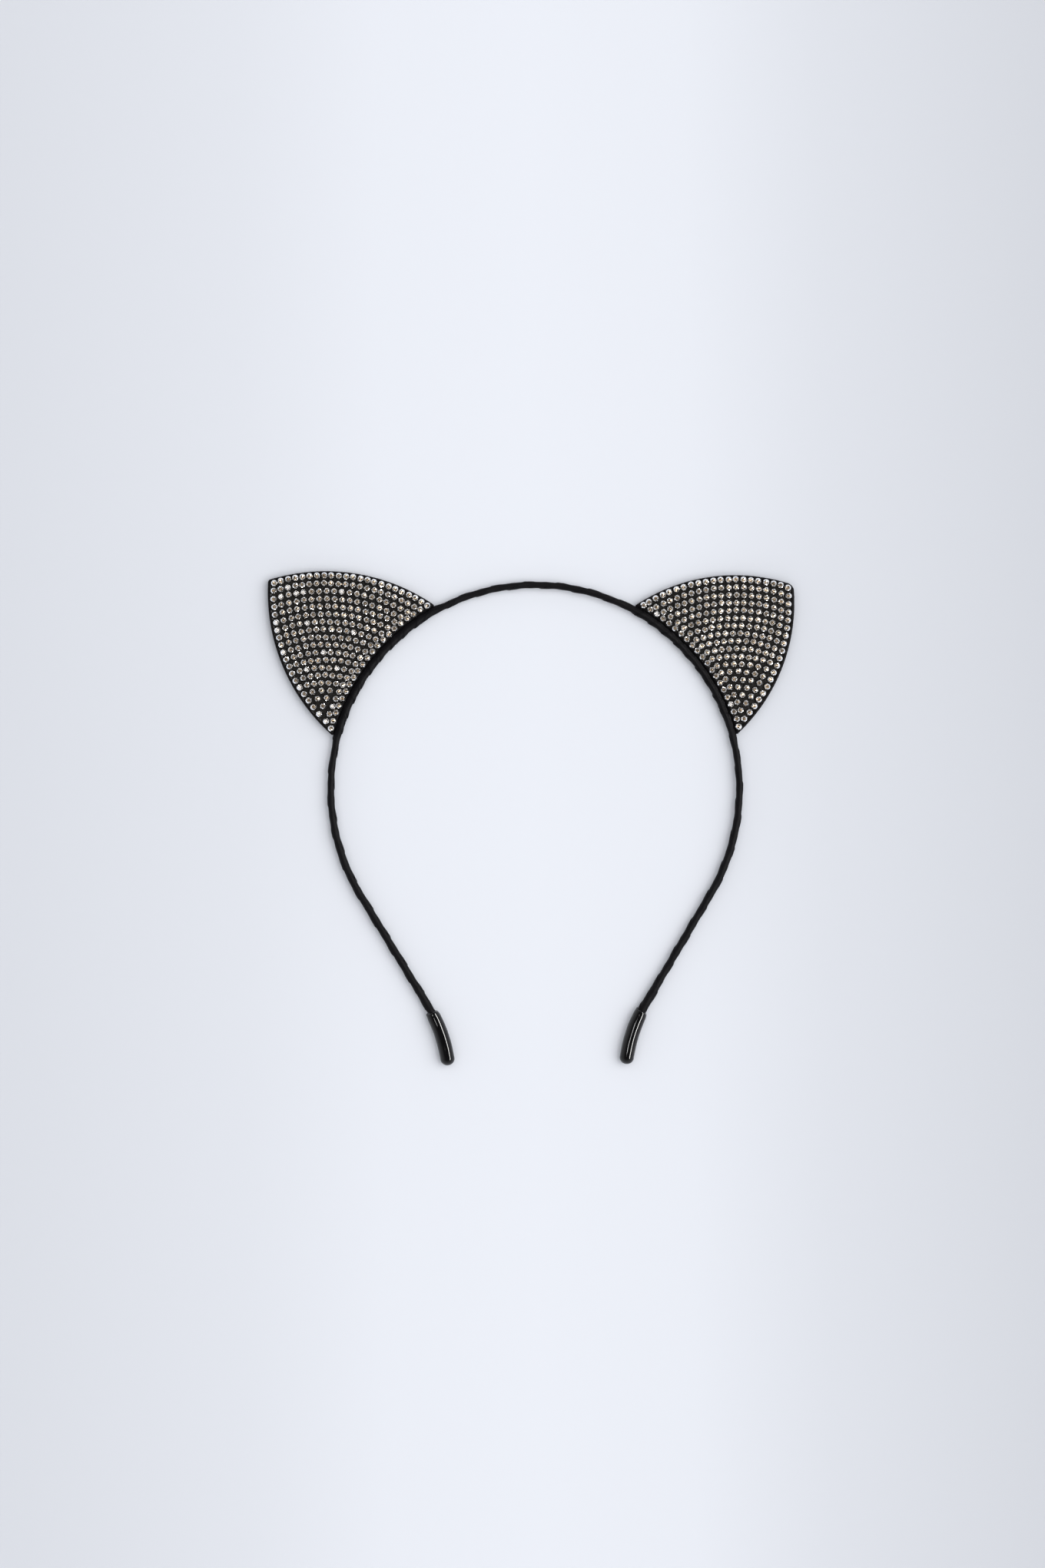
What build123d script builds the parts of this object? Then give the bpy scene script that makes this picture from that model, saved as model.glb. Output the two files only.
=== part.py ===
"""Cat-ear headband: a ribbon-wrapped spring-wire band with two crystal-covered ears.

The headband lies on its back on a table. +Z is up, away from the table, and is the side the crystals are on.
+Y runs from the wearer's chin to the crown, and +X to the right as the front of the headband is looked at.
The origin is the centre of the crown arc, on the table. "left" and "right" are as the front is looked at.
Angles along the band are counted from the top of the crown, down towards an arm's tip.
"""

import os
from math import atan2, cos, degrees, hypot, pi, radians, sin, sqrt

from build123d import *

os.makedirs("parts", exist_ok=True)

# ---- driving dimensions, mm and degrees ----
# band
head_radius = 66.5  # crown arc, to the middle of the band
arc_end_angle = 121.0  # where the crown arc runs into the straight of an arm
straight_length = 41.6
tip_bend_radius = 49.0
tip_bend_angle = 22.0  # the tips turn outwards, to sit behind the wearer's ears
core_diameter = 1.8
ribbon_thickness = 0.3
flex_angle = 18.0  # where an arm springs open on the crown
flex_gap = 0.3

# end caps
cap_radius = 2.2
cap_cover_length = 16.0  # from the mouth to the middle of the domed end
cap_bore_length = 12.0

# ears: each is a lens between two side arcs, cut off at the bottom by an arc beside the band
ear_base_radius = 68.15
ear_wire_diameter = 1.4
edge_tape_thickness = 0.4
edge_tape_lift = 0.2  # how far the tape stops short of the table
felt_thickness = 1.5
mesh_thickness = 0.5
least_wire_bend = 1.2
binding_width = 2.7  # the ribbon is folded double where an ear sits, towards the ear
binding_start_angle = 26.5
binding_end_angle = 77.0

# crystals
crystal_diameter = 2.1
crystal_height = 1.0
girdle_height = 0.3
table_share = 0.57  # table width over crystal width
crystal_facets = 8
row_pitch = 2.49
least_pitch = 2.36  # along a row
crystal_gap = 0.1
base_margin = 1.2  # centres of the base row to the ear's base
crown_margin = 1.5  # centres of the first row to the ear's crown side
outer_margin = 2.0  # centres of a row's first crystal to the ear's outer side
foot_margin = 1.5  # centres of the base row's end crystals to the sides

# ---- worked out ----
core_radius = core_diameter / 2
ribbon_radius = core_radius + ribbon_thickness
ear_wire_radius = ear_wire_diameter / 2
band_z = cap_radius  # the caps and the felt both rest on the table
felt_top = band_z - ear_wire_radius
foam_top = band_z + ear_wire_radius
mesh_top = foam_top + mesh_thickness
flex_half_gap_angle = degrees(flex_gap / 2 / head_radius)
wire_end_angle = tip_bend_angle - degrees((cap_cover_length - cap_bore_length) / tip_bend_radius)

band_plane = Plane.XY.offset(band_z)


class Ear:
    """One ear, in its own frame: "across" is away from the crown, and "along" is out to the tip."""

    def __init__(self, angle, tip_radius, side_radius, foot_half_angle, corner_radius):
        self.angle = angle
        self.side_radius = side_radius
        self.corner_radius = corner_radius
        foot_across = ear_base_radius * sin(radians(foot_half_angle))
        foot_along = ear_base_radius * cos(radians(foot_half_angle))
        chord = hypot(foot_across, tip_radius - foot_along)
        reach = sqrt(side_radius**2 - (chord / 2) ** 2)
        self.centre_across = (tip_radius - foot_along) / chord * reach - foot_across / 2
        self.centre_along = (tip_radius + foot_along) / 2 - foot_across / chord * reach

    def plane(self, height):
        """The ear's own plane at a height, for an ear on the right."""
        x_dir = (cos(radians(self.angle)), -sin(radians(self.angle)), 0)
        return Plane(origin=(0, 0, height), x_dir=x_dir, z_dir=(0, 0, 1))

    def outer_reach(self, across, along):
        """How far a point is from the centre of the outer side's arc."""
        return hypot(across + self.centre_across, along - self.centre_along)


# the two are bent by hand, and differ a little
ears = {
    "left": Ear(angle=51.5, tip_radius=110.4, side_radius=62.2, foot_half_angle=23.3, corner_radius=1.0),
    "right": Ear(angle=52.1, tip_radius=107.2, side_radius=58.5, foot_half_angle=23.1, corner_radius=2.8),
}


def radial_plane(angle):
    """A plane across the crown arc: its x runs out from the centre, and its y up."""
    out = (sin(radians(angle)), cos(radians(angle)), 0)
    along = (cos(radians(angle)), -sin(radians(angle)), 0)
    return Plane(origin=(0, 0, band_z), x_dir=out, z_dir=along)


def across_path(path, at):
    """The plane across a path, at a share of its length."""
    return Plane(origin=path @ at, z_dir=path % at)


def arm_path(start_angle, bend_angle):
    """The middle line of the right arm, from an angle on the crown arc to an angle into the tip bend."""
    with BuildLine(band_plane) as path:
        crown = CenterArc((0, 0), head_radius, 90 - start_angle, start_angle - arc_end_angle)
        straight = PolarLine(crown @ 1, straight_length, direction=crown % 1)
        JernArc(straight @ 1, straight % 1, tip_bend_radius, bend_angle)
    return path.line


def tip_path(bend_angle, length):
    """A stretch of the right arm's tip, from an angle into the bend back up towards the mouth of the cap."""
    whole = arm_path(binding_end_angle, bend_angle)
    with BuildLine(band_plane) as path:
        JernArc(whole @ 1, -(whole % 1), tip_bend_radius, -degrees(length / tip_bend_radius))
    return path.line


# ---- band ----
def crown_core_wire():
    """The spring wire over the crown, between the two flex lines."""
    half_angle = flex_angle - flex_half_gap_angle
    with BuildPart() as core:
        with BuildSketch(radial_plane(half_angle)):
            with Locations((head_radius, 0)):
                Circle(core_radius)
        revolve(axis=Axis.Z, revolution_arc=2 * half_angle)
    return core.part


def crown_ribbon():
    half_angle = flex_angle - flex_half_gap_angle
    with BuildPart() as ribbon:
        with BuildSketch(radial_plane(half_angle)):
            with Locations((head_radius, 0)):
                Circle(ribbon_radius)
                Circle(core_radius, mode=Mode.SUBTRACT)
        revolve(axis=Axis.Z, revolution_arc=2 * half_angle)
    return ribbon.part


def core_wire():
    """The spring wire of the right arm, from the flex line to its end inside the cap."""
    path = arm_path(flex_angle + flex_half_gap_angle, wire_end_angle)
    with BuildPart() as core:
        with BuildSketch(across_path(path, 0)):
            Circle(core_radius)
        sweep(path=path)
    return core.part


def shoulder_ribbon():
    """The ribbon round the band between the flex line and the ear."""
    start = flex_angle + flex_half_gap_angle
    with BuildPart() as ribbon:
        with BuildSketch(radial_plane(binding_start_angle)):
            with Locations((head_radius, 0)):
                Circle(ribbon_radius)
                Circle(core_radius, mode=Mode.SUBTRACT)
        revolve(axis=Axis.Z, revolution_arc=binding_start_angle - start)
    return ribbon.part


def ear_binding():
    """The ribbon where the ear sits, folded double on the ear's side."""
    middle = head_radius - ribbon_radius + binding_width / 2
    with BuildPart() as binding:
        with BuildSketch(radial_plane(binding_end_angle)):
            with Locations((middle, 0)):
                SlotOverall(binding_width, 2 * ribbon_radius)
            with Locations((head_radius, 0)):
                Circle(core_radius, mode=Mode.SUBTRACT)
        revolve(axis=Axis.Z, revolution_arc=binding_end_angle - binding_start_angle)
    return binding.part


def arm_ribbon():
    """The ribbon round the right arm, from below the ear into the cap."""
    path = arm_path(binding_end_angle, wire_end_angle)
    with BuildPart() as ribbon:
        with BuildSketch(across_path(path, 0)):
            Circle(ribbon_radius)
            Circle(core_radius, mode=Mode.SUBTRACT)
        sweep(path=path)
    return ribbon.part


def end_cap():
    """The dipped vinyl cap over the arm's tip: a curved tube with a domed end and a blind bore.

    The bore is cut with a rod that sticks out of the mouth.
    """
    path = tip_path(tip_bend_angle, cap_cover_length)
    bore_path = tip_path(wire_end_angle, cap_bore_length + 1)
    with BuildPart() as bore:
        with BuildSketch(across_path(bore_path, 0)):
            Circle(ribbon_radius)
        sweep(path=bore_path)
    with BuildPart() as cap:
        with BuildSketch(across_path(path, 0)):
            Circle(cap_radius)
        sweep(path=path)
        with BuildSketch(Plane(origin=path @ 0, x_dir=-(path % 0), z_dir=(0, 0, 1))):
            with BuildLine():
                CenterArc((0, 0), cap_radius, 0, 90)
                Polyline((0, cap_radius), (0, 0), (cap_radius, 0))
            make_face()
        revolve(axis=Axis(path @ 0, -(path % 0)))
        add(bore.part, mode=Mode.SUBTRACT)
    return cap.part


# ---- ears ----
def ear_outline(ear, height, inset=0.0, corner_radius=0.0, foot_corner_radius=0.0):
    """The ear's face at a height."""
    with BuildSketch(ear.plane(height)) as outline:
        with Locations((-ear.centre_across, ear.centre_along)):
            Circle(ear.side_radius - inset)
        with Locations((ear.centre_across, ear.centre_along)):
            Circle(ear.side_radius - inset, mode=Mode.INTERSECT)
        Circle(ear_base_radius + inset, mode=Mode.SUBTRACT)
        corners = outline.vertices().sort_by(lambda vertex: hypot(vertex.X, vertex.Y))
        if corner_radius > 0:
            fillet(corners[-1], radius=corner_radius)
        if foot_corner_radius > 0:
            fillet(outline.vertices().sort_by(lambda vertex: hypot(vertex.X, vertex.Y))[:2], radius=foot_corner_radius)
    return outline.sketch


def ear_frame_wire(ear):
    """The closed loop of bent wire that gives the ear its outline, inside the edge tape."""
    inset = edge_tape_thickness + ear_wire_radius
    bend = max(ear.corner_radius - inset, least_wire_bend)
    loop = ear_outline(ear, band_z, inset, bend, least_wire_bend).face().outer_wire()
    with BuildPart() as frame:
        with BuildSketch(across_path(loop, 0)):
            Circle(ear_wire_radius)
        sweep(path=loop)
    return frame.part


def ear_layer(ear, bottom, top):
    """One flat layer of the ear, as wide as fits inside the edge tape."""
    with BuildPart() as layer:
        add(ear_outline(ear, bottom, edge_tape_thickness, ear.corner_radius - edge_tape_thickness))
        extrude(amount=top - bottom)
    return layer.part


def ear_foam_core(ear):
    """The foam that fills the wire loop."""
    inset = edge_tape_thickness + ear_wire_diameter
    with BuildPart() as foam:
        add(ear_outline(ear, felt_top, inset, least_wire_bend, least_wire_bend))
        extrude(amount=foam_top - felt_top)
    return foam.part


def ear_edge_tape(ear):
    """The tape round the whole edge of the ear."""
    height = mesh_top - edge_tape_lift
    inner_corner = ear.corner_radius - edge_tape_thickness
    with BuildPart() as tape:
        add(ear_outline(ear, edge_tape_lift, 0, ear.corner_radius))
        extrude(amount=height)
        add(ear_outline(ear, edge_tape_lift, edge_tape_thickness, inner_corner))
        extrude(amount=height, mode=Mode.SUBTRACT)
    return tape.part


def base_row(ear):
    """Crystal centres of the row along the ear's base."""
    radius = ear_base_radius + base_margin
    limit = 0.0
    while ear.outer_reach(radius * sin(limit), radius * cos(limit)) < ear.side_radius - foot_margin:
        limit += 0.001
    count = int(2 * limit * radius / row_pitch)
    angles = [limit * (2 * step / count - 1) for step in range(count + 1)]
    return [(radius * sin(angle), radius * cos(angle)) for angle in angles]


def crystal_places(ear):
    """Crystal centres in the ear's own frame.

    One row runs along the base. The others are arcs parallel to the ear's crown side. Each of those starts beside
    the outer side and runs down until it meets the base row.
    """
    places = base_row(ear)
    base_places = list(places)
    outer_reach = ear.side_radius - outer_margin
    spread = 2 * ear.centre_across
    least_distance = crystal_diameter + crystal_gap
    radius = ear.side_radius - crown_margin
    while radius > row_pitch:
        along_spread = (radius**2 - outer_reach**2 + spread**2) / (2 * spread)
        if along_spread < radius:
            start = end = atan2(sqrt(radius**2 - along_spread**2), -along_spread)

            def place(angle):
                return ear.centre_across + radius * cos(angle), ear.centre_along + radius * sin(angle)

            def room(angle):
                across, along = place(angle)
                return min(hypot(across - x, along - y) for x, y in base_places) - least_distance

            if hypot(*place(start)) < ear_base_radius + base_margin:
                break
            while room(end) > 0:
                end += 0.0005
            steps = int((end - start) * radius / least_pitch)
            if end > start:
                places += [place(start + (end - start) * step / max(steps, 1)) for step in range(steps + 1)]
        radius -= row_pitch
    return places


def ear_crystals(ear):
    """All the crystals of an ear: glass stones with a flat back, a girdle, bevelled facets and a table."""
    crown_height = crystal_height - girdle_height
    bevel_run = crystal_diameter / 2 * cos(pi / crystal_facets) * (1 - table_share)
    with BuildPart() as stone:
        with BuildSketch():
            RegularPolygon(crystal_diameter / 2, crystal_facets)
        extrude(amount=girdle_height)
        top = stone.faces().sort_by(Axis.Z)[-1]
        extrude(top, amount=crown_height, taper=degrees(atan2(bevel_run, crown_height)))
    with BuildPart() as stones:
        with Locations(ear.plane(mesh_top)):
            with Locations(*crystal_places(ear)):
                add(stone.part)
    return stones.part


def on_side(piece, side):
    """The piece itself for the right side, and its mirror image for the left."""
    if side == "right":
        return piece
    with BuildPart() as mirrored:
        mirror(piece, about=Plane.YZ)
    return mirrored.part


def write(piece, name):
    piece.label = name
    export_step(piece, f"parts/{name}.step")


write(crown_core_wire(), "crown_core_wire")
write(crown_ribbon(), "crown_ribbon")
for side, ear in ears.items():
    pieces = {
        "core_wire": core_wire(),
        "shoulder_ribbon": shoulder_ribbon(),
        "ear_binding": ear_binding(),
        "arm_ribbon": arm_ribbon(),
        "end_cap": end_cap(),
        "ear_frame_wire": ear_frame_wire(ear),
        "ear_felt_back": ear_layer(ear, 0, felt_top),
        "ear_foam_core": ear_foam_core(ear),
        "ear_mesh_front": ear_layer(ear, foam_top, mesh_top),
        "ear_edge_tape": ear_edge_tape(ear),
        "ear_crystals": ear_crystals(ear),
    }
    for name, piece in pieces.items():
        write(on_side(piece, side), f"{side}_{name}")
    print(side, "crystals:", len(crystal_places(ear)))
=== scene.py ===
"""Looks for the cat-ear headband: wound ribbon, glossy tip caps, and ears covered in foil-backed crystals.

Lengths in this file are millimetres in the row frame, and turn into metres where a mesh is made. The right
half is worked out, and the left half is its mirror image except for the hand-made differences set here.
"""

import random

from math import atan2, cos, exp, hypot, pi, radians, sin, sqrt, tau

import bpy
from mathutils import Matrix, Vector, noise
from mathutils.geometry import delaunay_2d_cdt


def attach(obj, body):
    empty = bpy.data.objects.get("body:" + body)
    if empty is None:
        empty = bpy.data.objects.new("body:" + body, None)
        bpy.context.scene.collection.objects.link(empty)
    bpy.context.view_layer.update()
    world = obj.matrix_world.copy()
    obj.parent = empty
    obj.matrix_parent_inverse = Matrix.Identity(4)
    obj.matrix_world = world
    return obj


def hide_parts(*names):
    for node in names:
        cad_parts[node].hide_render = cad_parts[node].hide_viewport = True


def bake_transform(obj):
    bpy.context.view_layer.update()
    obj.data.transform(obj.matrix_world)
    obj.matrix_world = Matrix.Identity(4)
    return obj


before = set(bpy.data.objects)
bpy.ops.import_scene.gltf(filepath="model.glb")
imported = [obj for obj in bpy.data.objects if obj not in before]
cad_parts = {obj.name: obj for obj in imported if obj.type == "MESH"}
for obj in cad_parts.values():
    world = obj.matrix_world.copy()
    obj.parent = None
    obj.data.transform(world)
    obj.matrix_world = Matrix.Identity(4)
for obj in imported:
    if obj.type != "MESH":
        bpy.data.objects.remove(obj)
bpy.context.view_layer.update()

MM = 0.001

# ---- the frame's dimensions ----
HEAD_RADIUS = 66.5
ARC_END = radians(121.0)
STRAIGHT = 41.6
TIP_BEND_RADIUS = 49.0
TIP_BEND = radians(22.0)
BAND_Z = 2.2
WIRE_RADIUS = 0.9
CAP_RADIUS = 2.18
CAP_COVER = 16.0
EAR_BASE_RADIUS = 68.15
FELT_TOP = 1.5
MESH_TOP = 3.4
CRYSTAL_RADIUS = 1.05
FLEX_ZONE = (13.0, 29.0)  # distances along the band from the top, where it bends
BINDING = (26.5, 77.0)  # degrees from the top of the crown
SIDES = {"left": -1, "right": 1}

ARC_LENGTH = HEAD_RADIUS * ARC_END
TIP_START = ARC_LENGTH + STRAIGHT
BAND_END = TIP_START + TIP_BEND_RADIUS * TIP_BEND
CAP_MOUTH = BAND_END - CAP_COVER


def smooth(x, low=0.0, high=1.0):
    """0 below low, 1 above high, and a smooth step between."""
    x = min(max((x - low) / (high - low), 0.0), 1.0)
    return x * x * (3 - 2 * x)


# ---- materials ----
class Nodes:
    """Makes a material's nodes, one call each."""

    def __init__(self, name):
        self.material = bpy.data.materials.new(name)
        self.material.use_nodes = True
        self.tree = self.material.node_tree
        self.shader = self.tree.nodes["Principled BSDF"]

    def set(self, **values):
        for key, value in values.items():
            self.shader.inputs[key.replace("_", " ")].default_value = value
        return self

    def link(self, output, socket):
        target = self.shader.inputs[socket] if isinstance(socket, str) else socket
        self.tree.links.new(output, target)

    def coordinates(self, kind="Object"):
        return self.tree.nodes.new("ShaderNodeTexCoord").outputs[kind]

    def noise(self, vector, scale, detail=3.0, rough=0.55):
        node = self.tree.nodes.new("ShaderNodeTexNoise")
        node.inputs["Scale"].default_value = scale
        node.inputs["Detail"].default_value = detail
        node.inputs["Roughness"].default_value = rough
        self.link(vector, node.inputs["Vector"])
        return node.outputs["Fac"]

    def cells(self, vector, scale, kind="F1", output="Distance"):
        node = self.tree.nodes.new("ShaderNodeTexVoronoi")
        node.feature = kind
        node.inputs["Scale"].default_value = scale
        self.link(vector, node.inputs["Vector"])
        return node.outputs[output]

    def math(self, operation, *values):
        node = self.tree.nodes.new("ShaderNodeMath")
        node.operation = operation
        for socket, value in zip(node.inputs, values):
            if isinstance(value, (int, float)):
                socket.default_value = value
            else:
                self.link(value, socket)
        return node.outputs[0]

    def part(self, vector, axis):
        node = self.tree.nodes.new("ShaderNodeSeparateXYZ")
        self.link(vector, node.inputs[0])
        return node.outputs[axis]

    def wave(self, value, period):
        """A sine wave from 0 to 1 along a value."""
        turns = self.math("MULTIPLY", value, tau / period)
        return self.math("MULTIPLY_ADD", self.math("SINE", turns), 0.5, 0.5)

    def ramp(self, value, *stops):
        node = self.tree.nodes.new("ShaderNodeValToRGB")
        elements = node.color_ramp.elements
        while len(elements) < len(stops):
            elements.new(0.5)
        for element, (place, colour) in zip(elements, stops):
            element.position = place
            element.color = (*colour, 1.0) if len(colour) == 3 else colour
        self.link(value, node.inputs[0])
        return node.outputs["Color"]

    def range(self, value, low, high):
        node = self.tree.nodes.new("ShaderNodeMapRange")
        node.inputs["To Min"].default_value = low
        node.inputs["To Max"].default_value = high
        self.link(value, node.inputs["Value"])
        return node.outputs["Result"]

    def bump(self, height, strength, distance, below=None):
        node = self.tree.nodes.new("ShaderNodeBump")
        node.inputs["Strength"].default_value = strength
        node.inputs["Distance"].default_value = distance
        self.link(height, node.inputs["Height"])
        if below is not None:
            self.link(below, node.inputs["Normal"])
        return node.outputs["Normal"]


def ribbon_material():
    """Black grosgrain: fine ribs across the ribbon, fine threads along it, and a soft satin sheen."""
    n = Nodes("black_ribbon")
    uv = n.coordinates("UV")
    ribs = n.wave(n.part(uv, "X"), 0.46)
    threads = n.wave(n.part(uv, "Y"), 0.17)
    lint = n.noise(n.coordinates(), 900.0, 4.0, 0.6)
    patches = n.noise(n.coordinates(), 95.0, 2.0)
    weave = n.math("MULTIPLY_ADD", threads, 0.3, n.math("MULTIPLY", ribs, 0.7))
    tone = n.math("MULTIPLY_ADD", patches, 0.5, n.math("MULTIPLY", weave, 0.5))
    n.link(n.ramp(tone, (0.2, (0.0015, 0.0014, 0.0017)), (0.8, (0.0075, 0.0068, 0.0085))), "Base Color")
    n.link(n.range(lint, 0.36, 0.52), "Roughness")
    n.link(n.bump(lint, 0.15, 0.00004, n.bump(weave, 0.6, 0.00006)), "Normal")
    n.set(Sheen_Weight=0.025, Sheen_Roughness=0.3, Sheen_Tint=(0.8, 0.78, 0.9, 1.0), Specular_IOR_Level=0.1)
    return n.material


def cap_material():
    """Dipped black vinyl: deep gloss over a skin that is never quite even."""
    n = Nodes("black_vinyl")
    swell = n.noise(n.coordinates(), 160.0, 1.0)
    smear = n.noise(n.coordinates(), 520.0, 3.0)
    n.link(n.ramp(smear, (0.3, (0.0008, 0.0008, 0.001)), (0.8, (0.003, 0.0028, 0.0032))), "Base Color")
    n.link(n.range(smear, 0.03, 0.08), "Roughness")
    n.link(n.bump(swell, 0.2, 0.0002), "Normal")
    n.set(Specular_IOR_Level=0.5)
    return n.material


def felt_material():
    """The felt on an ear's back: matted fibres in soft clumps."""
    n = Nodes("black_felt")
    fibres = n.noise(n.coordinates(), 2600.0, 5.0, 0.7)
    clumps = n.noise(n.coordinates(), 420.0, 3.0)
    tone = n.math("MULTIPLY_ADD", clumps, 0.5, n.math("MULTIPLY", fibres, 0.5))
    n.link(n.ramp(tone, (0.3, (0.004, 0.004, 0.0045)), (0.75, (0.020, 0.019, 0.021))), "Base Color")
    n.link(n.bump(fibres, 0.8, 0.00012, n.bump(clumps, 0.5, 0.0002)), "Normal")
    n.set(Roughness=0.95, Sheen_Weight=0.2, Sheen_Roughness=0.6, Sheen_Tint=(0.6, 0.6, 0.62, 1.0))
    return n.material


def tape_material():
    """The satin tape round an ear's edge, woven in a fine twill."""
    n = Nodes("black_edge_tape")
    uv = n.coordinates("UV")
    twill = n.wave(n.math("ADD", n.part(uv, "X"), n.part(uv, "Y")), 0.3)
    lint = n.noise(n.coordinates(), 1300.0, 3.0)
    tone = n.math("MULTIPLY_ADD", twill, 0.5, n.math("MULTIPLY", lint, 0.5))
    n.link(n.ramp(tone, (0.2, (0.002, 0.0018, 0.002)), (0.8, (0.009, 0.008, 0.009))), "Base Color")
    n.link(n.range(lint, 0.5, 0.7), "Roughness")
    n.link(n.bump(twill, 0.4, 0.00004), "Normal")
    n.set(Sheen_Weight=0.02, Sheen_Roughness=0.4, Sheen_Tint=(0.8, 0.8, 0.84, 1.0), Specular_IOR_Level=0.1)
    return n.material


def mesh_material():
    """The resin-coated net between the crystals."""
    n = Nodes("black_resin_net")
    holes = n.cells(n.coordinates(), 1500.0)
    drops = n.noise(n.coordinates(), 800.0, 4.0, 0.65)
    n.link(n.ramp(drops, (0.35, (0.0012, 0.0010, 0.0008)), (0.8, (0.014, 0.011, 0.008))), "Base Color")
    n.link(n.range(drops, 0.25, 0.5), "Roughness")
    n.link(n.bump(holes, 0.6, 0.00012, n.bump(drops, 0.7, 0.00015)), "Normal")
    n.set(Specular_IOR_Level=0.25)
    return n.material


def resin_material():
    """The dark setting round each crystal."""
    n = Nodes("dark_setting")
    grain = n.noise(n.coordinates(), 1700.0, 3.0)
    n.link(n.ramp(grain, (0.3, (0.0015, 0.0012, 0.001)), (0.8, (0.014, 0.011, 0.008))), "Base Color")
    n.link(n.range(grain, 0.2, 0.42), "Roughness")
    n.link(n.bump(grain, 0.5, 0.00008), "Normal")
    n.set(Specular_IOR_Level=0.3)
    return n.material


def glass_material():
    """Cut glass, a little warm and hazy."""
    n = Nodes("crystal_glass")
    haze = n.noise(n.coordinates(), 900.0, 2.0)
    n.link(n.range(haze, 0.0, 0.05), "Roughness")
    n.link(n.ramp(haze, (0.3, (1.0, 0.965, 0.91)), (0.8, (0.985, 0.935, 0.86))), "Base Color")
    n.set(Transmission_Weight=1.0, IOR=1.56)
    return n.material


def foil_material():
    """The bright foil behind each stone, slightly crinkled."""
    n = Nodes("crystal_foil")
    crinkle = n.noise(n.coordinates(), 1400.0, 2.0)
    n.link(n.ramp(crinkle, (0.3, (0.98, 0.80, 0.60)), (0.8, (0.76, 0.615, 0.455))), "Base Color")
    n.link(n.range(crinkle, 0.14, 0.30), "Roughness")
    n.link(n.bump(crinkle, 0.25, 0.00003), "Normal")
    n.set(Metallic=1.0)
    return n.material


def wire_material():
    """Drawn spring steel."""
    n = Nodes("spring_steel")
    drawn = n.noise(n.coordinates(), 700.0, 4.0, 0.7)
    n.link(n.ramp(drawn, (0.3, (0.30, 0.30, 0.31)), (0.8, (0.52, 0.52, 0.53))), "Base Color")
    n.link(n.range(drawn, 0.25, 0.5), "Roughness")
    n.set(Metallic=1.0)
    return n.material


def coated_wire_material():
    """The thin black coat on an ear's frame wire."""
    n = Nodes("coated_frame_wire")
    skin = n.noise(n.coordinates(), 500.0, 3.0)
    n.link(n.ramp(skin, (0.3, (0.010, 0.010, 0.010)), (0.8, (0.030, 0.030, 0.032))), "Base Color")
    n.link(n.range(skin, 0.3, 0.5), "Roughness")
    return n.material


def foam_material():
    """Closed-cell foam."""
    n = Nodes("dark_foam")
    cells = n.cells(n.coordinates(), 1400.0)
    n.link(n.ramp(cells, (0.1, (0.012, 0.012, 0.012)), (0.7, (0.060, 0.060, 0.062))), "Base Color")
    n.link(n.bump(cells, 0.7, 0.0002), "Normal")
    n.set(Roughness=0.9)
    return n.material


def floor_material():
    """Plain pale paper, with painted light: its colour is lighter down the middle and darker towards the
    sides, as uneven light from side to side would make it.
    """
    n = Nodes("pale_paper")
    across = n.math("ADD", n.part(n.coordinates(), "X"), 0.5)
    # painted light: these levels make a brighter band down the middle of the paper and darker sides, painted
    # into the colour, not cast by the lamps
    painted_light_tones = [(0.1, 0.845), (0.33, 0.86), (0.405, 0.92), (0.45, 0.99), (0.5, 1.0)]
    painted_light_tones += [(0.55, 0.975), (0.595, 0.873), (0.67, 0.77), (0.9, 0.76)]
    n.link(n.ramp(across, *((at, (0.79 * k, 0.815 * k, 0.87 * k)) for at, k in painted_light_tones)), "Base Color")
    n.link(n.bump(n.noise(n.coordinates(), 900.0, 3.0), 0.05, 0.00005), "Normal")
    n.set(Roughness=0.8, Specular_IOR_Level=0.15)
    return n.material


MATERIALS = {
    "ribbon": ribbon_material(),
    "cap": cap_material(),
    "felt": felt_material(),
    "tape": tape_material(),
    "mesh": mesh_material(),
    "resin": resin_material(),
    "glass": glass_material(),
    "foil": foil_material(),
    "wire": wire_material(),
    "coated_wire": coated_wire_material(),
    "foam": foam_material(),
}


# ---- mesh helpers ----
def make_piece(name, points, faces, materials, uvs=None, face_materials=None, flat=False):
    """A mesh piece from points in millimetres. uvs has a (u, v) for each face corner, in millimetres too."""
    mesh = bpy.data.meshes.new(name)
    mesh.from_pydata([Vector(p) * MM for p in points], [], faces)
    for material in materials:
        mesh.materials.append(MATERIALS[material])
    if face_materials:
        mesh.polygons.foreach_set("material_index", face_materials)
    if not flat:
        mesh.polygons.foreach_set("use_smooth", [True] * len(mesh.polygons))
    if uvs:
        layer = mesh.uv_layers.new(name="UVMap")
        layer.data.foreach_set("uv", [c for uv in uvs for c in uv])
    mesh.validate()
    mesh.update()
    piece = bpy.data.objects.new(name, mesh)
    bpy.context.scene.collection.objects.link(piece)
    return piece


def grid_faces(rows, columns, closed_rows=False, closed_columns=False, uv_of=None):
    """Quads of a rows by columns grid of points, and a (u, v) for each corner."""
    faces, uvs = [], []
    for i in range(rows if closed_rows else rows - 1):
        for j in range(columns if closed_columns else columns - 1):
            corners = [(i, j), (i + 1, j), (i + 1, j + 1), (i, j + 1)]
            faces.append([(a % rows) * columns + b % columns for a, b in corners])
            if uv_of:
                uvs += [uv_of(a, b) for a, b in corners]
    return faces, uvs


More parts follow.
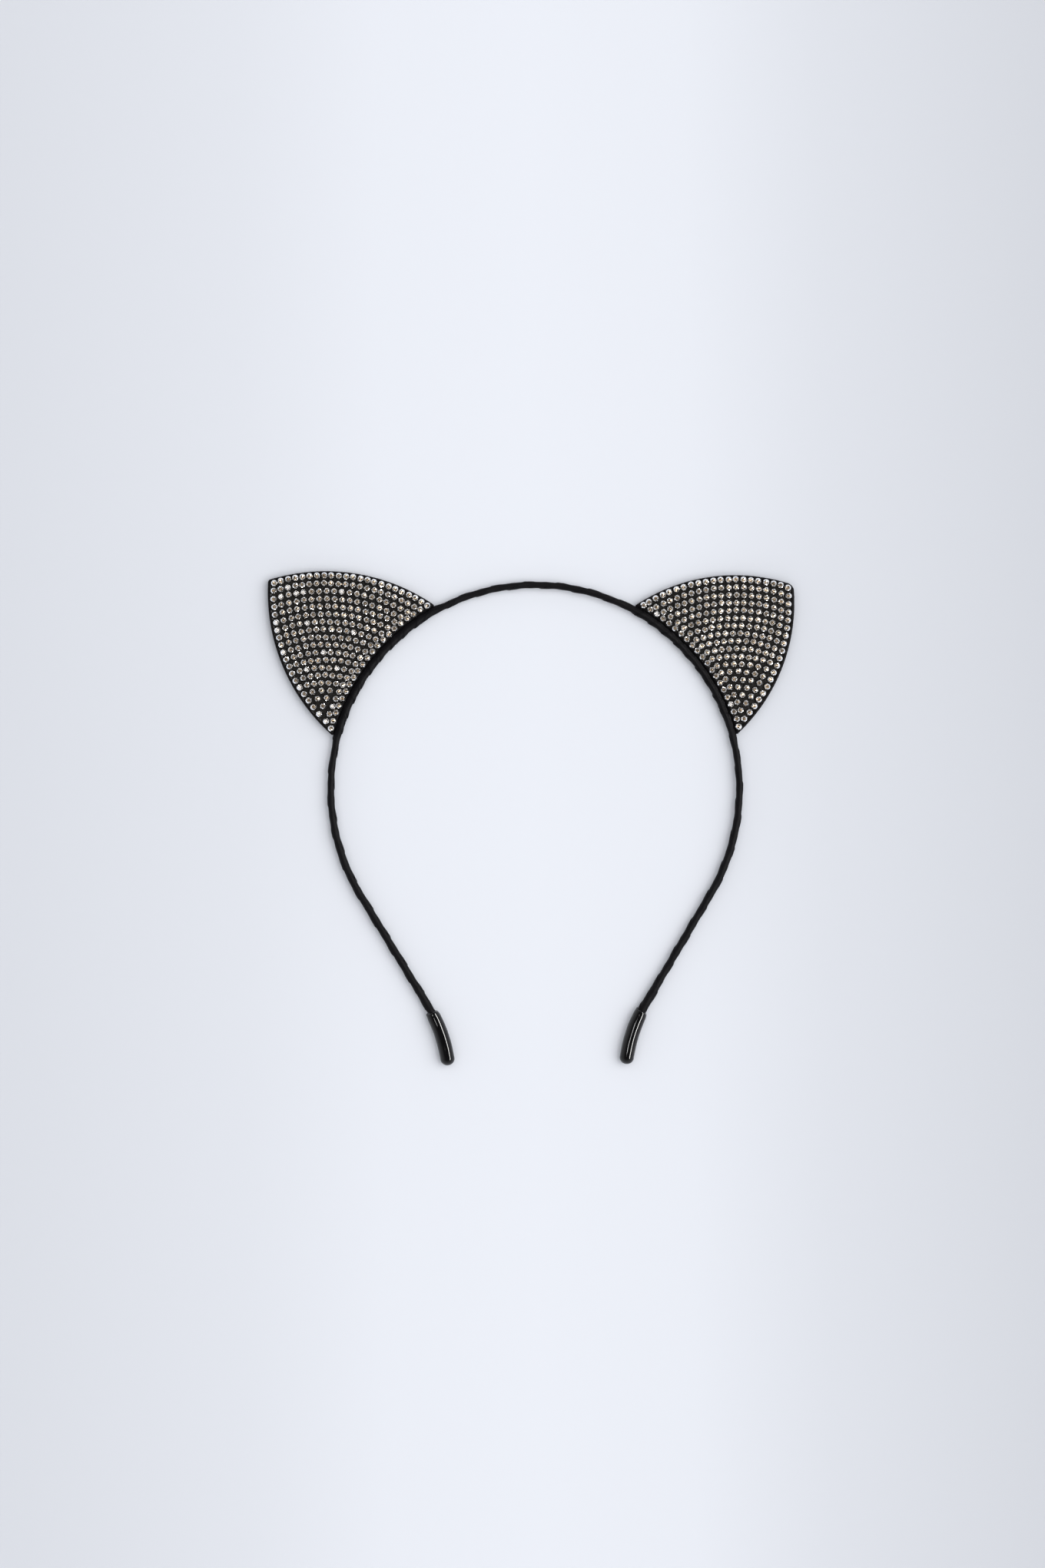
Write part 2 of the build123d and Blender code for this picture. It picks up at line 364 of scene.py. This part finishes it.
# ---- band ----
def band_place(distance):
    """The place of the band's middle and the way outwards, so far along the right half from the top."""
    if distance < ARC_LENGTH:
        a = distance / HEAD_RADIUS
        return (HEAD_RADIUS * sin(a), HEAD_RADIUS * cos(a)), (sin(a), cos(a))
    corner = (HEAD_RADIUS * sin(ARC_END), HEAD_RADIUS * cos(ARC_END))
    along, out = (cos(ARC_END), -sin(ARC_END)), (sin(ARC_END), cos(ARC_END))
    run = min(distance - ARC_LENGTH, STRAIGHT)
    place = (corner[0] + along[0] * run, corner[1] + along[1] * run)
    if distance <= TIP_START:
        return place, out
    turn = (distance - TIP_START) / TIP_BEND_RADIUS
    centre = (place[0] + out[0] * TIP_BEND_RADIUS, place[1] + out[1] * TIP_BEND_RADIUS)
    a = ARC_END - turn
    out = (sin(a), cos(a))
    return (centre[0] - out[0] * TIP_BEND_RADIUS, centre[1] - out[1] * TIP_BEND_RADIUS), out


def band_point(signed_distance, angle, radius):
    """A point round the band. Distances are positive on the right half, and negative on the left."""
    side = 1 if signed_distance >= 0 else -1
    (x, y), (out_x, out_y) = band_place(abs(signed_distance))
    reach = radius * cos(angle)
    return side * (x + out_x * reach), y + out_y * reach, BAND_Z + radius * sin(angle)


BINDING_START, BINDING_END = (HEAD_RADIUS * radians(a) for a in BINDING)


def lobed_radius(angle, share):
    """The band's radius where it is bound to an ear: the wire's lobe, and a smaller one towards the ear."""
    reach = []
    for centre, lobe in ((0.0, 0.97), (0.78, 0.62)):
        along = centre * cos(angle)
        inside = along**2 - centre**2 + lobe**2
        if inside > 0:
            reach.append(along + sqrt(inside))
    return 1.04 * (1 - share) + max(reach) * share


def ribbon_radius(signed_distance, angle):
    """The radius of the wound band under the ribbon's top layer."""
    distance = abs(signed_distance)
    share = smooth(distance, BINDING_START - 2, BINDING_START + 3) * (
        1 - smooth(distance, BINDING_END - 3, BINDING_END + 2)
    )
    thicker = 0.13 * smooth(distance, BINDING_END, BINDING_END + 40)
    end_bulk = 0.22 if signed_distance > 0 else 0.10
    thicker += end_bulk * smooth(distance, CAP_MOUTH - 13, CAP_MOUTH - 6)
    place = Vector(band_point(signed_distance, angle, 1.0))
    lumps = 0.05 * noise.noise(place * 0.33) + 0.02 * noise.noise(place * 1.1)
    return lobed_radius(angle, share) + thicker + lumps


def wound_ribbon(name, first_turn, last_turn, pitch, width, start, lift, phase=0.0, tucked=False):
    """A ribbon wound round the band. Each turn's near edge lies on the turn before it.

    start is where turn 0 begins, and lift is how far a lapped edge stands up. The ends of a tucked ribbon go
    down into the turns below.
    """
    lap = width - pitch
    thickness = 0.1
    steps = 34
    across = [0, 0.02, 0.12, 0.3, 0.5, lap, lap + 0.5, lap + 1.1, lap + 1.8, lap + 2.6]
    across += [lap + 2.6 + (width - lap - 2.6) * k / 12 for k in range(1, 13)]
    top = [(v, lift * (1 - smooth(v, lap * 0.9, lap + 2.4))) for v in across]
    top = [(v, up + 0.03 * smooth(v, 0, 0.1) * (1 - smooth(v, 0.25, 0.55))) for v, up in top]
    top = [(v, up + 0.06 * exp(-(((v - width * 0.55) / 0.9) ** 2))) for v, up in top]
    loop = top + [(v, up - thickness) for v, up in reversed(top)]
    first, last = round(first_turn * steps), round(last_turn * steps)
    points, rows = [], last - first + 1
    for row in range(first, last + 1):
        turn = row / steps
        angle = phase - pi / 2 - tau * turn
        sunk = 0.55 * (1 - smooth(min(row - first, last - row), 0, 14)) if tucked else 0.0
        for v, up in loop:
            at = start + pitch * turn + v
            points.append(band_point(at, angle, ribbon_radius(at, angle) + up - sunk))
    girth = tau * 1.2
    run = hypot(girth, pitch)
    columns = len(loop)

    def uv_of(i, j):
        j %= columns
        slant = loop[j][0] * pitch / run
        return (first + i) / steps * run + slant, loop[j][0] * girth / run

    faces, uvs = grid_faces(rows, columns, closed_columns=True, uv_of=uv_of)
    faces.append(list(range(columns))[::-1])
    faces.append([(rows - 1) * columns + j for j in range(columns)])
    uvs += [(0, 0)] * (2 * columns)
    return make_piece(name, points, faces, ["ribbon"], uvs)


def bend_with_arm(piece, side, sign):
    """Bakes a piece's place into its mesh. It looks up where the arm flexes on the crown, but does not bend
    the piece there.
    """
    for distance in FLEX_ZONE:
        (x, y), _ = band_place(distance)
    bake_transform(piece)


def make_wire(side, sign):
    """The spring wire inside the ribbon, from the top of the crown into the cap, with rounded ends."""
    around, rows = 14, 150
    end = CAP_MOUTH + 14.0
    points = []
    for i in range(rows + 1):
        at = end * i / rows
        rounded = 1 - 0.5 * smooth(at, end - 0.8, end)
        radius = WIRE_RADIUS * rounded + 0.012 * noise.noise(Vector((at, sign, 0)))
        points += [band_point(sign * max(at, 1e-6), tau * k / around, radius) for k in range(around)]
    faces, _ = grid_faces(rows + 1, around, closed_columns=True)
    faces += [list(range(around))[::-1], [rows * around + k for k in range(around)]]
    wire = make_piece(f"{side}_spring_wire", points, faces, ["wire"])
    bend_with_arm(wire, side, sign)
    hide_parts("crown_core_wire", f"{side}_core_wire")


def make_band(side, sign):
    """The ribbon wound along half the band, and the ribbon that binds the ear to it."""
    pitch = 10.6
    turns = (CAP_MOUTH + 3.0) / pitch
    span = (0, turns) if sign > 0 else (-turns - 1, 0)
    ribbon = wound_ribbon(f"{side}_band_ribbon", *span, pitch, 12.2, 0, 0.18)
    bend_with_arm(ribbon, side, sign)
    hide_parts("crown_ribbon", f"{side}_shoulder_ribbon", f"{side}_arm_ribbon")

    length = BINDING_END - BINDING_START - 4
    pitch = 5.4
    turns = (length - 4) / pitch
    begin = BINDING_START + 2 if sign > 0 else -BINDING_END + 2
    binding = wound_ribbon(f"{side}_ear_binding_ribbon", 0, turns, pitch, 6.2, begin, 0.3, 1.0, True)
    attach(binding, f"{side}_arm")
    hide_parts(f"{side}_ear_binding")


CAP_SPREAD = 0.07  # a cap is this share wider than it is high
CAP_SKINS = {"left": (-9.0, 0.07), "right": (4.0, 0.05)}  # where in the noise, and how uneven


def make_cap(side, sign):
    """A dipped cap: a rounded, slightly ragged lip, an uneven skin, and a domed end."""
    around, dome_steps = 56, 12
    skin_place, skin_depth = CAP_SKINS[side]
    lip_radius = CAP_RADIUS - 0.1
    profile = [(-0.9, 1.25), (-0.25, 1.3), (-0.02, 1.45), (0.0, 1.7), (0.1, 1.93), (0.3, 2.04)]
    profile.append((0.7, lip_radius))
    profile += [(k * 0.5, lip_radius + 0.1 * smooth(k * 0.5, 1, 6)) for k in range(3, 32)]
    for k in range(dome_steps):
        a = pi / 2 * k / dome_steps
        profile.append((CAP_COVER + CAP_RADIUS * sin(a), CAP_RADIUS * cos(a)))
    points = []
    for along, radius in profile:
        for k in range(around):
            angle = tau * k / around
            ragged = 0.28 * sin(angle + 1.2 * sign) + 0.16 * sin(3 * angle + sign)
            ragged *= 1 - smooth(along, 0.2, 1.6)
            at = sign * (CAP_MOUTH + min(along + ragged, CAP_COVER))
            beyond = max(along - CAP_COVER, 0.0)
            probe = Vector((along * 0.22, cos(angle) * 0.7, sin(angle) * 0.7 + skin_place))
            wobble = skin_depth * noise.noise(probe) * smooth(along, 0.5, 3)
            wobble *= 1 - smooth(along, CAP_COVER - 1, CAP_COVER + 2)
            spread = 1 + CAP_SPREAD * cos(angle) ** 2 * smooth(along, 0, 2)
            x, y, z = band_point(at, angle, (radius + wobble - 0.01) * spread)
            if beyond:
                _, (out_x, out_y) = band_place(BAND_END)
                x += sign * -out_y * -beyond
                y += -out_x * beyond
            points.append((x, y, z))
    rows = len(profile)
    faces, _ = grid_faces(rows, around, closed_columns=True)
    (x, y), (out_x, out_y) = band_place(BAND_END)
    points.append((sign * (x + out_y * CAP_RADIUS), y - out_x * CAP_RADIUS, BAND_Z))
    last_ring, tip = (rows - 1) * around, rows * around
    faces += [[last_ring + k, tip, last_ring + (k + 1) % around] for k in range(around)]
    cap = make_piece(f"{side}_tip_cap", points, faces, ["cap"])
    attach(cap, f"{side}_arm")
    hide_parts(f"{side}_end_cap")


# ---- ears ----
class Ear:
    """An ear in its own frame: "across" is away from the crown, and "along" is out to the tip."""

    def __init__(self, side, angle, tip_radius, side_radius, foot_half_angle, corner_radius):
        self.side = side
        self.sign = SIDES[side]
        self.angle = radians(angle)
        self.side_radius = side_radius
        self.corner_radius = corner_radius
        foot_angle = radians(foot_half_angle)
        foot = (EAR_BASE_RADIUS * sin(foot_angle), EAR_BASE_RADIUS * cos(foot_angle))
        chord = hypot(foot[0], tip_radius - foot[1])
        reach = sqrt(side_radius**2 - (chord / 2) ** 2)
        self.centre = (
            (tip_radius - foot[1]) / chord * reach - foot[0] / 2,
            (tip_radius + foot[1]) / 2 - foot[0] / chord * reach,
        )

    def place(self, across, along, height):
        """A point in the row frame."""
        x = across * cos(self.angle) + along * sin(self.angle)
        return self.sign * x, -across * sin(self.angle) + along * cos(self.angle), height

    def depths(self, across, along):
        """How far inside the outer side, the crown side and the base a point is."""
        outer = self.side_radius - hypot(across + self.centre[0], along - self.centre[1])
        crown = self.side_radius - hypot(across - self.centre[0], along - self.centre[1])
        return outer, crown, hypot(across, along) - EAR_BASE_RADIUS

    def front(self, across, along):
        """The height of the front net: a soft pillow, lower round its edge, and a little uneven."""
        outer, crown, base = (max(d, 0) for d in self.depths(across, along))
        edge = exp(-outer / 1.3) + exp(-crown / 1.3) + 0.6 * exp(-base / 0.9)
        probe = Vector((across * 0.085, along * 0.085, 3.7 * self.sign))
        return MESH_TOP - 0.02 - 0.42 * min(edge, 1.4) + 0.16 * noise.noise(probe)

    def outline(self, inset, foot_radius=0.35, counts=(10, 44, 4, 44)):
        """Points round the ear at an inset from its edge, the same number for every inset."""
        corner_count, side_count, foot_count, base_count = counts
        side_radius, base_radius = self.side_radius - inset, EAR_BASE_RADIUS + inset
        tip_radius = max(self.corner_radius - inset, 0.25)
        tip_along = self.centre[1] + sqrt((side_radius - tip_radius) ** 2 - self.centre[0] ** 2)
        # centre is the crown side's, and the outer side's is its mirror image across the ear
        start = atan2(tip_along - self.centre[1], self.centre[0])
        reach, away = side_radius - foot_radius, base_radius + foot_radius
        span = hypot(*self.centre)
        share = (away**2 - reach**2 + span**2) / (2 * span)
        rise = sqrt(away**2 - share**2)
        unit = (-self.centre[0] / span, self.centre[1] / span)
        foot = (unit[0] * share + unit[1] * rise, unit[1] * share - unit[0] * rise)
        end = atan2(foot[1] - self.centre[1], foot[0] + self.centre[0])
        base = atan2(foot[1], foot[0])
        half = []
        for k in range(corner_count):
            a = pi / 2 + (start - pi / 2) * k / corner_count
            half.append((tip_radius * cos(a), tip_along + tip_radius * sin(a)))
        for k in range(side_count):
            a = start + (end - start) * k / side_count
            half.append((-self.centre[0] + side_radius * cos(a), self.centre[1] + side_radius * sin(a)))
        for k in range(foot_count):
            a = end + (base - pi - end) * k / foot_count
            half.append((foot[0] + foot_radius * cos(a), foot[1] + foot_radius * sin(a)))
        for k in range(base_count + 1):
            a = base + (pi / 2 - base) * k / base_count
            half.append((base_radius * cos(a), base_radius * sin(a)))
        return half + [(-x, y) for x, y in reversed(half[1:-1])]


EARS = [
    Ear("left", 51.5, 110.4, 62.2, 23.3, 1.0),
    Ear("right", 52.1, 107.2, 58.5, 23.1, 2.8),
]


def ringed_piece(name, ear, profile, material, closed=False, wave=0.0):
    """A piece swept round the ear's edge. profile is a list of (inset, height)."""
    rings = []
    for inset, height in profile:
        ring = []
        for k, (across, along) in enumerate(ear.outline(inset)):
            up = wave * noise.noise(Vector((across * 0.3, along * 0.3, 5.0 + ear.sign)))
            ring.append(ear.place(across, along, height + up))
        rings.append(ring)
    count = len(rings[0])
    lengths = [0.0]
    for k in range(count):
        lengths.append(lengths[-1] + (Vector(rings[0][(k + 1) % count]) - Vector(rings[0][k])).length)
    runs = [0.0]
    for (a, b), (c, d) in zip(profile, profile[1:] + profile[:1]):
        runs.append(runs[-1] + hypot(c - a, d - b))
    faces, uvs = grid_faces(len(rings), count, closed, True, lambda i, j: (lengths[j], runs[i]))
    if ear.sign > 0:
        faces = [face[::-1] for face in faces]
        uvs = [uv for k in range(0, len(uvs), 4) for uv in uvs[k : k + 4][::-1]]
    return make_piece(name, [p for ring in rings for p in ring], faces, [material], uvs)


def filled_piece(name, ear, inset, spacing, height_of, material, thickness=0.0):
    """A panel that fills the outline at an inset, with points every spacing."""
    edge = ear.outline(inset, counts=(5, 30, 2, 30))
    points = [Vector(p) for p in edge]
    low, high = -ear.side_radius / 2, ear.side_radius / 2
    steps = int((high - low) / spacing)
    for i in range(steps):
        for j in range(steps):
            across = low + (i + 0.5 * (j % 2)) * spacing
            along = EAR_BASE_RADIUS - 6 + j * spacing * 0.87
            if min(ear.depths(across, along)) > inset + spacing * 0.45:
                points.append(Vector((across, along)))
    loop = list(range(len(edge)))
    edges = [(k, (k + 1) % len(edge)) for k in loop]
    verts, _, faces, _, _, _ = delaunay_2d_cdt(points, edges, [loop], 1, 1e-5)
    faces = [list(face) for face in faces]
    top = [ear.place(v.x, v.y, height_of(v.x, v.y)) for v in verts]
    flip = ear.sign > 0
    if flip:
        faces = [face[::-1] for face in faces]
    uvs_of = [(v.x, v.y) for v in verts]
    uvs = [uvs_of[k] for face in faces for k in face]
    if thickness:
        count = len(top)
        bottom = [(x, y, z - thickness) for x, y, z in top]
        under = [[k + count for k in reversed(face)] for face in faces]
        sides = []
        n = len(edge)
        for k in range(n):
            a, b = k, (k + 1) % n
            sides.append([b, a, a + count, b + count] if not flip else [a, b, b + count, a + count])
        uvs += [uvs_of[k - count] for face in under for k in face]
        uvs += [(0, 0)] * (4 * n)
        faces = faces + under + sides
        top = top + bottom
    return make_piece(name, top, faces, [material], uvs)


def crystal_places(ear, rng):
    """Crystal centres: a row along the base, and rows parallel to the crown side that run down to it."""
    row_pitch, least_pitch = 2.49, 2.36
    clear = 2 * CRYSTAL_RADIUS + 0.1
    radius = EAR_BASE_RADIUS + 1.2
    limit = 0.0
    while ear.depths(radius * sin(limit), radius * cos(limit))[0] > 1.5:
        limit += 0.001
    count = int(2 * limit * radius / row_pitch)
    angles = [limit * (2 * k / count - 1) for k in range(count + 1)]
    base = [(radius * sin(a), radius * cos(a)) for a in angles]
    places = list(base)
    reach, spread = ear.side_radius - 2.0, 2 * ear.centre[0]
    row = ear.side_radius - 1.5
    while row > row_pitch:
        share = (row**2 - reach**2 + spread**2) / (2 * spread)
        if share < row:
            start = end = atan2(sqrt(row**2 - share**2), -share)

            def place(a):
                return ear.centre[0] + row * cos(a), ear.centre[1] + row * sin(a)

            if hypot(*place(start)) < radius:
                break
            while min(hypot(place(end)[0] - x, place(end)[1] - y) for x, y in base) > clear:
                end += 0.0005
            steps = int((end - start) * row / least_pitch)
            if end > start:
                places += [place(start + (end - start) * k / max(steps, 1)) for k in range(steps + 1)]
        row -= row_pitch
    return [(x + rng.gauss(0, 0.055), y + rng.gauss(0, 0.055)) for x, y in places]


def tilted(ear, across, along, turn, lean, lean_way):
    """A function that puts a crystal's own points on the ear's front, leaning as the net does there."""
    step = 0.3
    slope_across = (ear.front(across + step, along) - ear.front(across - step, along)) / (2 * step)
    slope_along = (ear.front(across, along + step) - ear.front(across, along - step)) / (2 * step)
    slope_across += lean * cos(lean_way)
    slope_along += lean * sin(lean_way)
    up = Vector((-slope_across, -slope_along, 1)).normalized()
    side = Vector((cos(turn), sin(turn), 0))
    side = (side - up * side.dot(up)).normalized()
    matrix = Matrix((side, up.cross(side), up)).transposed()
    base = Vector((across, along, ear.front(across, along)))

    def put(point):
        p = base + matrix @ Vector(point)
        return ear.place(p.x, p.y, p.z)

    return put


def crystal_shape(keel):
    """One crystal's points and faces: table, star, kite and girdle facets in glass, and a foiled pavilion."""
    r = CRYSTAL_RADIUS
    floor, girdle, top, sides = 0.0, 0.30, 0.92, 8
    faces = []
    table = [(0.54 * r * cos(tau * k / sides), 0.54 * r * sin(tau * k / sides), top) for k in range(sides)]
    middle = []
    for k in range(sides):
        a = tau * (k + 0.5) / sides
        middle.append((0.80 * r * cos(a), 0.80 * r * sin(a), girdle + 0.60 * (top - girdle)))
    upper, lower = [], []
    for k in range(2 * sides):
        a = tau * k / (2 * sides)
        upper.append((r * cos(a), r * sin(a), girdle + 0.06))
        lower.append((r * cos(a), r * sin(a), girdle - 0.06))
    points = table + middle + upper + lower + [(*keel, floor)]
    m, g, w = sides, 2 * sides, 4 * sides
    faces.append(list(range(sides)))
    for k in range(sides):
        following = (k + 1) % sides
        before = (k - 1) % sides
        faces.append([k, m + k, following])
        faces.append([k, m + before, g + 2 * k])
        faces.append([k, g + 2 * k, m + k])
        faces.append([m + k, g + 2 * k, g + 2 * k + 1])
        faces.append([m + k, g + 2 * k + 1, g + (2 * k + 2) % (2 * sides)])
    for k in range(2 * sides):
        following = (k + 1) % (2 * sides)
        faces.append([g + k, w + k, w + following, g + following])
    glass_count = len(faces)
    apex = len(points) - 1
    for k in range(2 * sides):
        following = (k + 1) % (2 * sides)
        faces.append([w + k, apex, w + following])
    return points, faces, [0] * glass_count + [1] * (2 * sides)


def make_crystals(ear, rng):
    """An ear's stones, and the dark setting round each."""
    around = 16
    collar = [(1.07, -0.25), (1.07, 0.26), (1.10, 0.34), (1.15, 0.33), (1.21, 0.16), (1.26, -0.25)]
    points, faces, kinds = [], [], []
    ring_points, ring_faces = [], []
    for across, along in crystal_places(ear, rng):
        turn, lean, lean_way = rng.uniform(0, tau), abs(rng.gauss(0, 0.045)), rng.uniform(0, tau)
        put = tilted(ear, across, along, turn, lean, lean_way)
        shape, shape_faces, shape_materials = crystal_shape((rng.gauss(0, 0.16), rng.gauss(0, 0.16)))
        first = len(points)
        points += [put(p) for p in shape]
        for face in shape_faces:
            corners = [first + k for k in face]
            faces.append(corners if ear.sign < 0 else corners[::-1])
        kinds += shape_materials
        first = len(ring_points)
        for radius, height in collar:
            for k in range(around):
                a = tau * k / around
                rough = 1 + 0.02 * rng.uniform(-1, 1)
                ring_points.append(put((radius * rough * cos(a), radius * rough * sin(a), height)))
        quads, _ = grid_faces(len(collar), around, closed_columns=True)
        for quad in quads:
            ring_faces.append([first + k for k in (quad if ear.sign > 0 else quad[::-1])])
    stones = make_piece(f"{ear.side}_ear_stones", points, faces, ["glass", "foil"], None, kinds, flat=True)
    settings = make_piece(f"{ear.side}_ear_settings", ring_points, ring_faces, ["resin"])
    for piece in (stones, settings):
        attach(piece, f"{ear.side}_ear")
    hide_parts(f"{ear.side}_ear_crystals")


def make_ear(ear):
    """An ear's stones, net, foam, felt and edge tape."""
    rng = random.Random(7 + ear.sign)
    body = f"{ear.side}_ear"
    make_crystals(ear, rng)

    net = filled_piece(f"{ear.side}_ear_net", ear, 0.55, 1.1, ear.front, "mesh", 0.12)
    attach(net, body)
    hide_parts(f"{ear.side}_ear_mesh_front")

    foam = filled_piece(f"{body}_foam_pad", ear, 1.9, 2.2, lambda x, y: ear.front(x, y) - 0.2, "foam", 1.25)
    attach(foam, body)
    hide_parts(f"{ear.side}_ear_foam_core")

    felt = filled_piece(f"{ear.side}_ear_felt_panel", ear, 0.42, 1.6, lambda x, y: FELT_TOP, "felt", 1.47)
    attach(felt, body)
    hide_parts(f"{ear.side}_ear_felt_back")

    profile = [(0.85, 3.13), (0.7, 3.17), (0.45, 3.14), (0.22, 3.02), (0.08, 2.82), (0.0, 2.5), (0.0, 2.0)]
    profile += [(0.02, 1.5), (0.05, 1.0), (0.1, 0.55), (0.22, 0.3), (0.4, 0.16), (0.75, 0.12)]
    profile += [(0.75, 0.2), (0.45, 0.4), (0.35, 1.0), (0.33, 2.0), (0.35, 2.6), (0.5, 2.95)]
    tape = ringed_piece(f"{ear.side}_ear_tape", ear, profile, "tape", closed=True, wave=0.05)
    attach(tape, body)
    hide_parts(f"{ear.side}_ear_edge_tape")


def make_gusset(ear):
    """The strip that joins the band's binding to the ear's base, low on the band and high in the ear."""
    half_angle, count, rows = radians(23.0), 60, 6
    points = []
    for i in range(rows):
        share = i / (rows - 1)
        radius, height = 67.75 + 0.75 * share, 1.5 + 1.4 * share
        for k in range(count + 1):
            a = half_angle * (2 * k / count - 1)
            points.append(ear.place(radius * sin(a), radius * cos(a), height))
    lengths = HEAD_RADIUS * 2 * half_angle / count
    faces, uvs = grid_faces(rows, count + 1, uv_of=lambda i, j: (j * lengths, i * 0.32))
    strip = make_piece(f"{ear.side}_ear_gusset", points, faces, ["ribbon"], uvs)
    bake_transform(strip)


for side, sign in SIDES.items():
    make_wire(side, sign)
    make_band(side, sign)
    make_cap(side, sign)
for ear in EARS:
    make_ear(ear)
    make_gusset(ear)

for side in SIDES:
    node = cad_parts[f"{side}_ear_frame_wire"]
    node.data.materials.clear()
    node.data.materials.append(MATERIALS["coated_wire"])


# ---- floor, light and camera ----
def make_floor():
    reach, drop = 4000, 0.02
    corners = [(-reach, -reach, 0), (reach, -reach, 0), (reach, reach, 0), (-reach, reach, 0)]
    floor = make_piece("floor", corners, [[0, 1, 2, 3]], [])
    floor.location.z = -drop * MM
    floor.data.materials.append(floor_material())


def make_light(name, azimuth, tilt, distance, size, power, colour=(1, 1, 1)):
    """A soft light whose middle is tilt degrees from straight above, towards azimuth (0 is +X, 90 is +Y).

    distance is in metres, and so is size: its length level with the table, and its height.
    """
    light = bpy.data.lights.new(name, "AREA")
    light.shape = "RECTANGLE"
    light.size, light.size_y = size
    light.energy = power
    light.color = colour
    lamp = bpy.data.objects.new(name, light)
    bpy.context.scene.collection.objects.link(lamp)
    tilt, azimuth = radians(tilt), radians(azimuth)
    way = Vector((sin(tilt) * cos(azimuth), sin(tilt) * sin(azimuth), cos(tilt)))
    lamp.location = way * distance
    lamp.rotation_mode = "QUATERNION"
    lamp.rotation_quaternion = way.to_track_quat("Z", "Y")
    lamp.visible_camera = False
    return lamp


def make_world():
    """A pale surround, bright low down and dim straight above, where the camera is."""
    world = bpy.data.worlds.new("studio")
    bpy.context.scene.world = world
    world.use_nodes = True
    tree = world.node_tree
    back = tree.nodes["Background"]
    coordinates = tree.nodes.new("ShaderNodeTexCoord")
    split = tree.nodes.new("ShaderNodeSeparateXYZ")
    ramp = tree.nodes.new("ShaderNodeValToRGB")
    tree.links.new(coordinates.outputs["Generated"], split.inputs[0])
    tree.links.new(split.outputs["Z"], ramp.inputs[0])
    tree.links.new(ramp.outputs["Color"], back.inputs["Color"])
    stops = [(0.0, 0.75), (0.3, 0.66), (0.6, 0.46), (0.8, 0.16), (1.0, 0.08)]
    elements = ramp.color_ramp.elements
    while len(elements) < len(stops):
        elements.new(0.5)
    for element, (place, level) in zip(elements, stops):
        element.position = place
        element.color = (level * 0.97, level * 0.985, level * 1.03, 1)
    back.inputs["Strength"].default_value = 1.0


def make_camera():
    """The camera looks straight down, turned a little as in the photo."""
    view_height, object_height = 0.510, 0.003
    data = bpy.data.cameras.new("camera")
    data.lens = 100
    data.sensor_width = 36
    camera = bpy.data.objects.new("camera", data)
    bpy.context.scene.collection.objects.link(camera)
    camera.location = (-0.0041, 0.00175, view_height * data.lens / data.sensor_width + object_height)
    camera.rotation_euler.z = -0.0074
    bpy.context.scene.camera = camera


make_floor()
make_world()
make_light("strip", 0, 42, 4.0, (3.4, 0.45), 150.0, (1.0, 0.99, 0.975)).visible_diffuse = False
make_light("glint", 180, 9, 4.0, (0.5, 0.42), 9.0).visible_diffuse = False
for light in (
    make_light("softbox", 3, 36, 4.0, (3.8, 3.8), 92.0, (1.0, 0.995, 0.99)),
    make_light("overhead", 0, 0, 3.0, (5.0, 5.0), 65.5, (1.0, 0.995, 0.99)),
):
    light.visible_glossy = light.visible_transmission = False
make_camera()
bpy.context.scene.view_settings.view_transform = "Standard"
